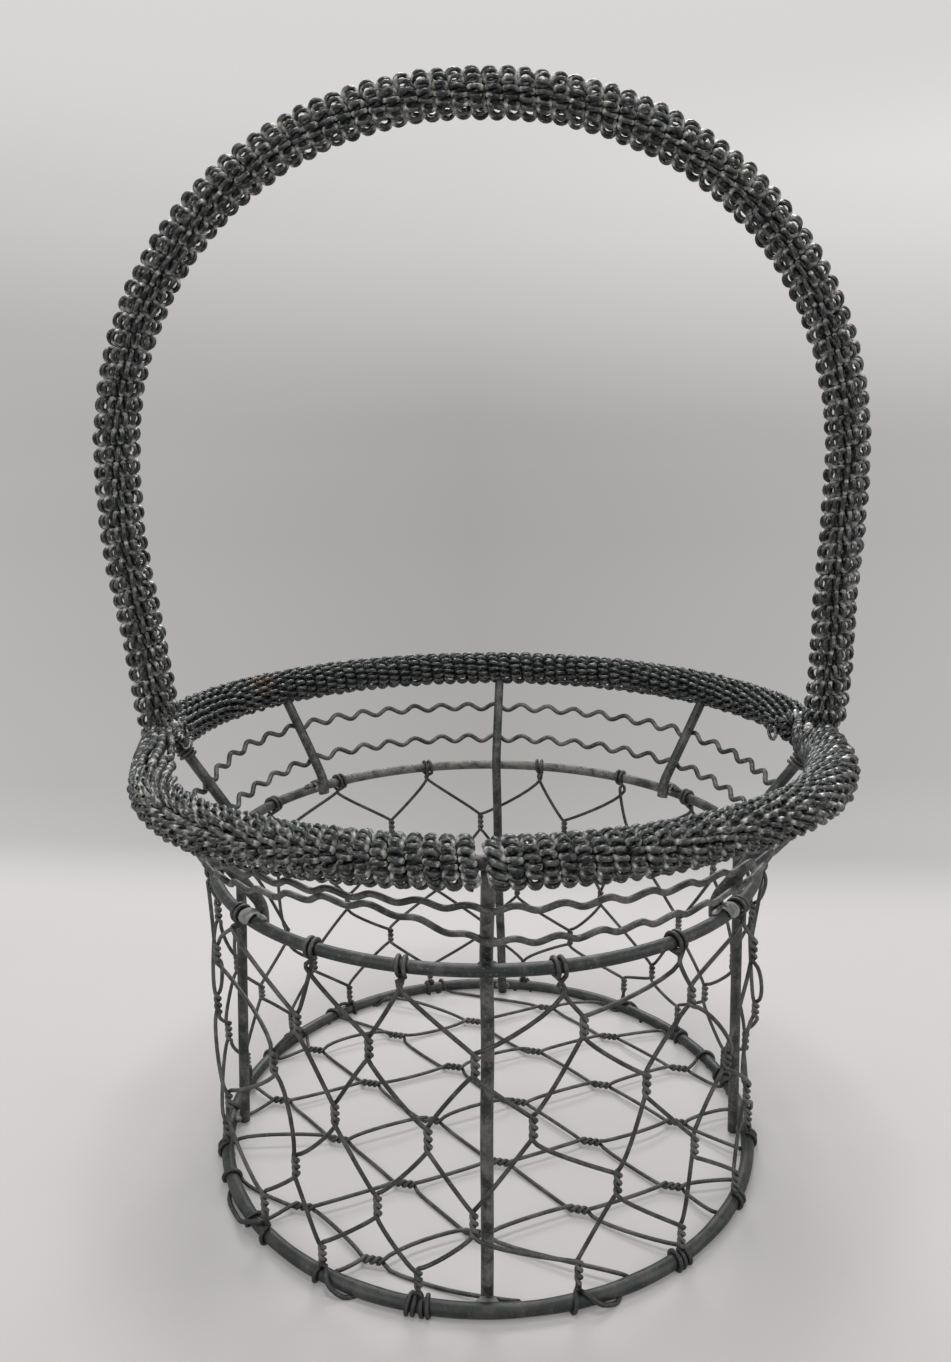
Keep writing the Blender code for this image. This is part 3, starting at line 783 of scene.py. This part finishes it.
def fanOut(foot):
    # Strands leave the foot over the rim's top and spread round its tube.
    chance = np.random.default_rng(foot["seed"])
    wires = []
    for number, section in enumerate(foot["fan"]):
        points = []
        reach = foot["reach"] * chance.uniform(foot["shortest"], 1)
        for share in np.linspace(0, 1, fan["points"]):
            spread = min(1.0, share * fan["opening"])
            angle = (mixed(90, section, spread) - reach * fan["trail"] * share
                     + chance.normal(0, foot["jitter"]))
            if share < 1:
                distance = (mixed(fan["start"], foot["snug"], spread)
                            + fan["rise"] * math.sin(share * math.pi))
            else:
                distance = chance.uniform(*foot["tips"])
            points.append(footSpot(foot["azimuth"] + reach * share, angle, distance))
        wires.append(windStrand(points, foot["seed"] + 3 * number, foot["thick"]))
    return wires


def collar(side, seed, radius, height):
    # A short coil round the handle's foot.
    angles = np.linspace(0, turn * collars["turns"], collars["points"])
    middle = side * collars["side"] + legShifts["left" if side < 0 else "right"][0]
    points = np.stack((middle + radius * np.cos(angles), radius * np.sin(angles),
                       height + collars["rise"] * np.sin(angles * 0.7)), 1)
    return windStrand(points, seed, collars["thick"])


def jumble(foot):
    # Short bits of coil that lie about in all directions.
    chance = np.random.default_rng(foot["seed"] + 100)
    wires = []
    for number in range(foot["bits"]):
        middle = foot["azimuth"] + chance.uniform(*foot["spread"])
        section, heading = chance.uniform(*bit["sections"]), chance.uniform(0, turn)
        half, out = chance.uniform(*bit["half"]), chance.uniform(*bit["out"])
        along = math.degrees(half * math.cos(heading) / rimHoop["radius"])
        around = math.degrees(half * math.sin(heading) / out)
        points = [footSpot(middle + step * along, section + step * around,
                           out - bit["bow"] * abs(step)) for step in (-1, 0, 1)]
        wires.append(windStrand(points, foot["seed"] + 110 + 3 * number,
                                chance.uniform(*bit["thick"])))
    return wires


def looseLoop():
    # One open turn that hangs on the rim's inner side behind the right foot.
    azimuth, section, distance = 97, 205, 0.0072
    halfWidth, halfHeight, advance, wire = 0.0021, 0.0019, 0.0004, 0.0011
    angles = np.linspace(0, turn * 1.2, 26)
    along = column(halfWidth * np.cos(angles) + advance * angles)
    line = (footSpot(azimuth, section, distance) + rightwardAt(math.radians(azimuth)) * along
            + upward * column(halfHeight * np.sin(angles)))
    return roundWire(line, wire, 7, rub=0.4)


def layFeet():
    left = fanOut(leftFoot) + jumble(leftFoot)
    left += [collar(-1, 381, 0.0036, 0.1282), collar(-1, 395, 0.0045, 0.1262)]
    left.append(windStrand([footSpot(*spot) for spot in turnedBack], 390))
    layPiece("left_foot_strands", left, coilFinish)
    right = fanOut(rightFoot) + jumble(rightFoot)
    right += [collar(1, 384, 0.0036, 0.1282), looseLoop()]
    layPiece("right_foot_strands", right, coilFinish)


layFeet()
print("feet of the handle bound")


# Bindings under the rim on the side ribs.

def layBindings():
    bend, rim, run = ribSlope()
    pitch = binding["wire"] + binding["gap"] / 3
    radius = (rib["wire"] + binding["wire"]) / 2
    start = rimSleeve["outer"] / 2 + rib["gap"] + binding["wire"] / 2
    for node, ribNode in (("rib_binding_left", "rib_left"), ("rib_binding_right", "rib_right")):
        azimuth = ribAzimuth(ribNode, rim[1] - start)
        downhill = -(outwardAt(azimuth) * run[0] + upward * run[1])
        side = rightwardAt(azimuth)
        across = np.cross(downhill, side)
        begin = spotAt(rim[0], azimuth, rim[1]) + downhill * start
        shares = np.linspace(0, binding["turns"], binding["turns"] * binding["steps"] + 1)
        line = (begin + downhill * column(pitch * shares)
                + circled(side, across, turn * shares, radius))
        if ribNode == "rib_right":                      # its end is cut and stands off
            away = (side * 0.5 + across) * binding["wire"]
            line = np.vstack([line, line[-1] + away * column(binding["cutEnd"])])
        layWire(node + "_wire", node, line, binding["wire"], frameFinish, rub=0.4)


layBindings()
print("bindings laid")


# Netting.

net = {"wire": 0.00112, "twist": 0.0053, "turns": 1.5, "steps": 20, "sides": 7, "bump": 1.1,
       "longRun": 0.003, "runPoints": 10, "curl": 0.32, "sway": 0.035, "rub": 0.3, "twistRub": 0.4,
       "sunk": 0.93, "slackest": 0.001, "pointEvery": 18, "footWidth": 1.12, "footRub": -0.6}
net["lowest"] = net["wire"] * net["footWidth"] / 2         # the widened ends stay above z = 0
tie = {"over": (230, -410), "run": net["wire"] * 2.5, "slack": 0.00015,
       "below": (0.0028, 0.0042), "aside": 0.0005}
# How netting ends go round the base hoop: section angles in degrees and runs along the hoop.
wallFoot = {"start": 100, "once": (-150, -110), "again": (-500, -460), "againShare": 0.3,
            "loose": (0, 0.12), "run": (0.0008, 0.016), "aside": 0.55}
floorFoot = {"over": 190, "under": (175, 250), "run": (0.0018, 0.005), "slack": 0.0001}
wallWires = 16
rowShares = (0.775, 0.52, 0.29, 0.083)
tieSides = (0, 0.03, -0.08, -0.1, -0.1, -0.16, -0.21, -0.19,
            0.16, 0.28, 0.27, 0.06, 0.1, 0.13, 0.06, -0.17)
twistSides = (
    (-0.31, -0.32, -0.2, -0.1, -0.1, 0.18, 0.01, 0.02,
     0.1, 0.55, 0.15, 0.1, 0, 0.41, 0.07, -0.12),
    (-0.19, -0.26, -0.25, -0.2, -0.1, -0.06, 0.04, 0.08,
     0.05, 0.2, 0.1, 0.1, 0.1, 0.6, 0.25, 0.02),
    (0, -0.2, -0.15, -0.1, -0.05, -0.19, -0.08, 0,
     0.15, 0.2, 0.1, 0, 0.1, 0.31, 0.1, -0.14),
    (0.18, 0.18, 0.1, 0, 0, -0.1, -0.3, 0,
     0.16, 0.22, 0.1, 0, 0.05, 0.34, 0.06, -0.08),
)
twistRises = (
    (0.22, 0.2, 0.1, -0.05, 0, -0.04, -0.14, -0.12,
     -0.09, 0.2, 0.1, 0, 0.05, 0, -0.05, -0.13),
    (0.14, 0.37, 0.1, 0, -0.1, -0.2, -0.22, -0.28,
     -0.2, -0.2, -0.3, -0.1, 0.1, 0.38, 0.08, 0),
    (0.19, 0.2, 0.1, 0, -0.1, -0.3, -0.15, -0.1,
     -0.06, -0.1, 0, 0.1, 0.05, 0.1, 0, -0.07),
    (0.05, -0.05, -0.1, 0, 0.05, 0.05, 0.1, 0,
     -0.05, -0.05, 0, 0.05, 0, 0.1, -0.05, 0),
)


def twistTurns(centre, ahead, across, out, side, length=net["twist"]):
    # One wire of a twist, which comes from its own side and leaves to it.
    shares = np.linspace(0, 1, net["steps"])
    angles = math.pi / 2 - shares * turn * net["turns"] + (0 if side == 1 else math.pi)
    return list(centre + ahead * column(length * (shares - 0.5))
                + circled(across, out, angles, net["wire"] / 2 * net["bump"]))


def roundHoop(hoop, azimuth, degrees, shift, slack, snugness=1.02):
    # A wire wound over a hoop, from one section angle to another, with a run along the hoop.
    # Slack is how far it bulges off the hoop's outer side, where a slack wire stays for longer.
    shares = np.linspace(0, 1, max(4, int(abs(degrees[1] - degrees[0]) / net["pointEvery"])))
    turned = shares + 0.9 * slack / net["slackest"] * np.sin(turn * shares) / turn
    angles = np.radians(mixed(*degrees, turned))
    reach = ((hoop["wire"] + net["wire"]) / 2 * snugness
             + slack * np.maximum(0, np.cos(angles)) ** 2)
    heights = np.maximum(hoop["height"] + reach * np.sin(angles), net["lowest"])
    return list(spotAt(hoop["radius"] + reach * np.cos(angles),
                       azimuth + shift / hoop["radius"] * (shares - 0.5), heights))


def bentRuns(points, seed):
    # The straight runs between twists become gently bowed, with round bends at their ends.
    chance = np.random.default_rng(seed)
    points = np.array(points)
    line = [points[0]]
    for place in range(1, len(points)):
        start, end = points[place - 1], points[place]
        length = np.linalg.norm(end - start)
        bow = chance.normal(0, net["sway"] * length, 3)
        if length > net["longRun"] and 1 < place < len(points) - 1:
            pull = length * net["curl"]
            away = unit(start - points[place - 2]) * pull
            back = unit(points[place + 1] - end) * pull
            share = column(np.linspace(0, 1, net["runPoints"])[1:-1])
            rest = 1 - share
            line += list(start * (rest ** 2 * (1 + 2 * share)) + away * (share * rest ** 2)
                         + end * (share ** 2 * (1 + 2 * rest)) - back * (share ** 2 * rest)
                         + bow * 4 * share * rest)
        line.append(end)
    line = np.array(line)
    line[:, 2] = np.maximum(line[:, 2], net["lowest"])
    return line


# Legs that run on along the base hoop before they go under it, by wire and side.
looseFeet = {(13, -1): 1.8, (14, 1): 0.7, (0, 1): 0.75, (6, -1): 0.5, (9, 1): 0.6}


def wallTwist(row, place):
    place %= wallWires
    even = place + (0.5 if row % 2 else 1) + twistSides[row][place]
    wall = waistHoop["height"] - baseHoop["height"]
    height = baseHoop["height"] + wall * (rowShares[row] + twistRises[row][place] / 4)
    return turn * even / wallWires, height


def wallRadius(height):
    share = (height - baseHoop["height"]) / (waistHoop["height"] - baseHoop["height"])
    return mixed(baseHoop["radius"], waistHoop["radius"] + waistHoop["wire"] / 2, share)


def tieAzimuth(place):
    return turn * (place + 0.5 + tieSides[place]) / wallWires


def wallLeg(place, side):
    # Just under the waist hoop the two legs of a wire cross.
    below = waistHoop["height"] - np.random.default_rng(560 + place).uniform(*tie["below"])
    joint = tieAzimuth(place) - side * tie["aside"] / waistHoop["radius"]
    points = [spotAt(wallRadius(below) + side * net["wire"] / 2, joint, below)]
    for row in range(len(rowShares)):
        own = row % 2 == 1
        neighbour = (place if own or side == 1 else place - 1) % wallWires
        azimuth, height = wallTwist(row, neighbour)
        length = net["twist"] * np.random.default_rng(800 + row * 20 + neighbour).uniform(0.8, 1.2)
        points += twistTurns(spotAt(wallRadius(height), azimuth, height), -upward,
                             rightwardAt(azimuth), outwardAt(azimuth), -side if own else side,
                             length)
    chance = np.random.default_rng(600 + place * 2 + side)
    loose = looseFeet.get((place, side), chance.uniform(*wallFoot["loose"]))
    shift = side * mixed(*wallFoot["run"], loose)
    foot = azimuth + (side * net["wire"] * wallFoot["aside"] + shift / 2) / baseHoop["radius"]
    again = chance.uniform() < wallFoot["againShare"] and loose < 0.5
    last = chance.uniform(*wallFoot["again" if again else "once"])
    return points + roundHoop(baseHoop, foot, (wallFoot["start"], last), shift,
                              net["slackest"] * min(loose, 1), net["sunk"])


def twistWear(line):
    # 1 where a wire turns as tightly as in a twist, which rubs pale, and 0 in its runs.
    step = np.linalg.norm(np.gradient(line, axis=0), axis=1)
    bend = np.linalg.norm(np.gradient(unit(np.gradient(line, axis=0)), axis=0), axis=1) / step
    return np.clip((bend - 430) / 300, 0, 1)


def layNet(node, line, rub, widths=1.0):
    layWire(node + "_net", node, line, net["wire"], netFinish, net["sides"], rub=rub,
            widths=widths)


def layWall():
    for place in range(wallWires):
        loop = roundHoop(waistHoop, tieAzimuth(place), tie["over"], tie["run"], tie["slack"])
        line = bentRuns(wallLeg(place, -1)[::-1] + loop + wallLeg(place, 1), 640 + place)
        atFoot = line[:, 2] < baseHoop["wire"] + net["wire"]
        worn = np.where(atFoot, net["footRub"], net["rub"] + net["twistRub"] * twistWear(line))
        layNet(f"wall_wire_{place + 1:02d}", line, worn, np.where(atFoot, net["footWidth"], 1))


floorNet = {"rowStep": 0.0148, "twistStep": 0.0248, "turned": math.radians(-13),
            "rowShare": 0.39, "twistShare": 0.38, "reachShare": 0.9, "overShare": 0.4}


def floorSpot(run, across, height):
    cosine, sine = math.cos(floorNet["turned"]), math.sin(floorNet["turned"])
    return np.array((run * cosine - across * sine, run * sine + across * cosine, height))


def floorRow(row):
    return floorNet["rowStep"] * (row + floorNet["rowShare"])


def floorMiddle(row):
    return (floorRow(row) + floorRow(row + 1)) / 2


def floorTwists(row):
    reach = (baseHoop["radius"] * floorNet["reachShare"]) ** 2 - floorRow(row) ** 2
    if reach <= 0:
        return []
    first = floorNet["twistStep"] * (floorNet["twistShare"] + row % 2)
    places = [first + 2 * floorNet["twistStep"] * place for place in range(-4, 5)]
    return [place for place in places if abs(place) <= math.sqrt(reach)]


def floorEnd(side, across):
    end = floorSpot(side * math.sqrt(baseHoop["radius"] ** 2 - across ** 2), across, 0)
    azimuth = math.atan2(end[0], -end[1])
    chance = np.random.default_rng(round(700 + across * 9000 + side))
    onward = np.sign(np.dot(floorSpot(side, 0, 0), rightwardAt(azimuth)))
    shift = onward * chance.uniform(*floorFoot["run"])
    degrees = floorFoot["under"]
    if chance.uniform() < floorNet["overShare"]:
        degrees = floorFoot["over"], chance.uniform(*wallFoot["once"])
    return roundHoop(baseHoop, azimuth, degrees, shift, floorFoot["slack"], net["sunk"])


def layFloor():
    ahead, across = floorSpot(1, 0, 0), floorSpot(0, 1, 0)
    inside = baseHoop["radius"] - baseHoop["wire"]
    rows = [row for row in range(-8, 8) if abs(floorMiddle(row)) < inside]
    for number, low in enumerate(rows, start=1):
        stops = [(place, low, -1) for place in floorTwists(low)]
        stops += [(place, low + 1, 1) for place in floorTwists(low + 1)]
        line = floorEnd(-1, floorMiddle(low))[::-1]
        for place, row, side in sorted(stops):
            centre = floorSpot(place, floorRow(row), baseHoop["height"])
            line += twistTurns(centre, ahead, across, upward, side)
        line = bentRuns(line + floorEnd(1, floorMiddle(low)), 680 + number)
        worn = net["rub"] * (np.hypot(line[:, 0], line[:, 1]) < inside)
        layNet(f"floor_wire_{number:02d}", line, worn)


layWall()
layFloor()
print("netting laid")


# Floor, backdrop, lights and camera.

# The floor's and the sky's tones, lifts and dims below are painted light.
stage = {"floorColour": (0.493, 0.472, 0.469), "halfSize": 8.0, "farStart": 0.12, "farEnd": 0.235,
         "edgeTilt": 0.09, "even": 0.18, "nearStart": -0.1, "eye": 0.298, "rightDim": 0.15,
         "nearTones": ((0.0, 0.6), (0.2, 0.64), (0.45, 0.69), (0.75, 0.725), (1.0, 0.74)),
         "farTones": ((0.031, 0.47), (0.043, 0.43), (0.09, 0.415), (0.25, 0.4), (1.0, 0.407)),
         "skyTones": ((0.0, 0.409), (0.02, 0.417), (0.07, 0.47), (0.12, 0.54), (0.17, 0.612),
                      (0.22, 0.655), (0.26, 0.675), (0.34, 0.685)),
         "middle": 0.93, "sides": 0.42, "tint": (1.0, 0.985, 0.975), "widest": 0.6,
         "dimWithin": 0.4}

def makeFloor():
    half = stage["halfSize"]
    mesh = bpy.data.meshes.new("studio_floor")
    mesh.from_pydata([(-half, -half, 0), (half, -half, 0), (half, half, 0), (-half, half, 0)],
                     [], [(0, 1, 2, 3)])
    floor = addObject("studio_floor", mesh)
    finish = Finish(bpy.data.materials.new("paleFloor"))
    across, depth = finish.axis("X"), finish.axis("Y")
    # Painted light: as seen, the floor glows in tones that near the basket get lighter going back
    # and darker on the right, and further back get a little darker going back and lighter towards
    # the sides. Near the basket this glow also lightens the floor's shadows.
    far = (depth + across * stage["edgeTilt"]).above(stage["farStart"], stage["farEnd"])
    near = (depth - stage["nearStart"]) * (1 / (stage["farStart"] - stage["nearStart"]))
    nearTone = finish.tones(stage["nearTones"], near)
    farTone = finish.tones(stage["farTones"], depth * (1 / half))
    aside = abs(across) / (depth + stage["eye"]).between(stage["eye"], half * 2)
    dim = across.between(-stage["dimWithin"], stage["dimWithin"]) * stage["rightDim"]
    lift = ((aside.between(0, stage["widest"]) * stage["sides"] + stage["middle"] - 1) * far + 1
            - (1 - far) * dim)
    finish.set(finish.shader, {"Base Color": (*stage["floorColour"], 1), "Roughness": 0.9,
                               "Specular IOR Level": 0.1})
    tone = finish.scaled(finish.blend(nearTone, farTone, far), lift)
    glow = finish.node("ShaderNodeEmission", {}, {"Color": tone})
    share = far * (1 - stage["even"]) + stage["even"]               # evens out the shade as seen
    finish.cover(glow, share * finish.seen())
    mesh.materials.append(finish.block)


world = {"light": (0.86, 0.87, 0.875), "strength": 0.38, "farSide": 0.12,
         "beltStart": (-0.02, 0.1), "beltEnd": (0.2, 0.3), "rightSide": 0.3, "leftShare": 0.4}


def makeWorld():
    studio = Finish(bpy.data.worlds.new("studio"), "Background", "World Output", "Generated")
    bpy.context.scene.world = studio.block
    studio.set(studio.shader, {"Color": (*world["light"], 1), "Strength": world["strength"]})
    # Painted light: as seen, the sky has tones that get lighter upwards and lighter towards the
    # sides near the horizon. In a low belt they are lighter on the right and darker on the left.
    rise, across = studio.axis("Z"), studio.axis("X")
    fade = 1 - rise.above(0, world["farSide"])
    belt = rise.above(*world["beltStart"]) * (1 - rise.above(*world["beltEnd"]))
    rightward = (across + abs(across) * world["leftShare"]) * belt * world["rightSide"]
    lift = (abs(across) * stage["sides"] + stage["middle"] - 1) * fade + 1 + rightward
    tone = studio.scaled(studio.tones(stage["skyTones"], rise), lift)
    studio.cover(studio.node("ShaderNodeBackground", {}, {"Color": tone}), studio.seen())


lamps = {
    "overhead": {"place": (0.0, 0.05, 1.3), "size": 0.35, "power": 7.5},
    "over_rear": {"place": (0.05, 1.02, 1.03), "size": 0.6, "power": 11},
    "front_left": {"place": (-0.9, -1.0, 0.9), "size": 1.2, "power": 9},
    "right": {"place": (1.1, -0.5, 0.7), "size": 1.0, "power": 5.5},
}


lampAim = Vector((0, 0, 0.12))


def makeLamps():
    for name, facts in lamps.items():
        light = bpy.data.lights.new(name, "AREA")
        light.size = facts["size"]
        light.energy = facts["power"]
        lamp = addObject(name, light)
        lamp.location = facts["place"]
        lamp.rotation_euler = (lampAim - lamp.location).to_track_quat("-Z", "Y").to_euler()


# The photograph's view, fitted to its three hoops: angles in radians, focal length in pixels.
view = {"place": (-0.00421, -0.29807, 0.20811), "down": 0.2219, "right": 0.0055,
        "roll": -0.008, "focal": 1063.08, "longSide": 1362, "sensor": 36, "nearest": 0.01}


def makeCamera():
    data = bpy.data.cameras.new("photo_view")
    data.sensor_width = view["sensor"]
    data.lens = view["sensor"] * view["focal"] / view["longSide"]
    data.clip_start = view["nearest"]
    camera = addObject("photo_view", data)
    level = np.array((math.sin(view["right"]), math.cos(view["right"]), 0.0))
    ahead = circled(level, -upward, view["down"])
    side = np.cross(level, upward)
    side = circled(side, np.cross(side, ahead), view["roll"])
    over = np.cross(side, ahead)
    camera.matrix_world = Matrix([[side[k], over[k], -ahead[k], view["place"][k]]
                                  for k in range(3)] + [[0, 0, 0, 1]])
    bpy.context.scene.camera = camera


makeFloor()
makeWorld()
makeLamps()
makeCamera()
bpy.context.scene.view_settings.view_transform = "Standard"
print("stage, lamps and camera set")
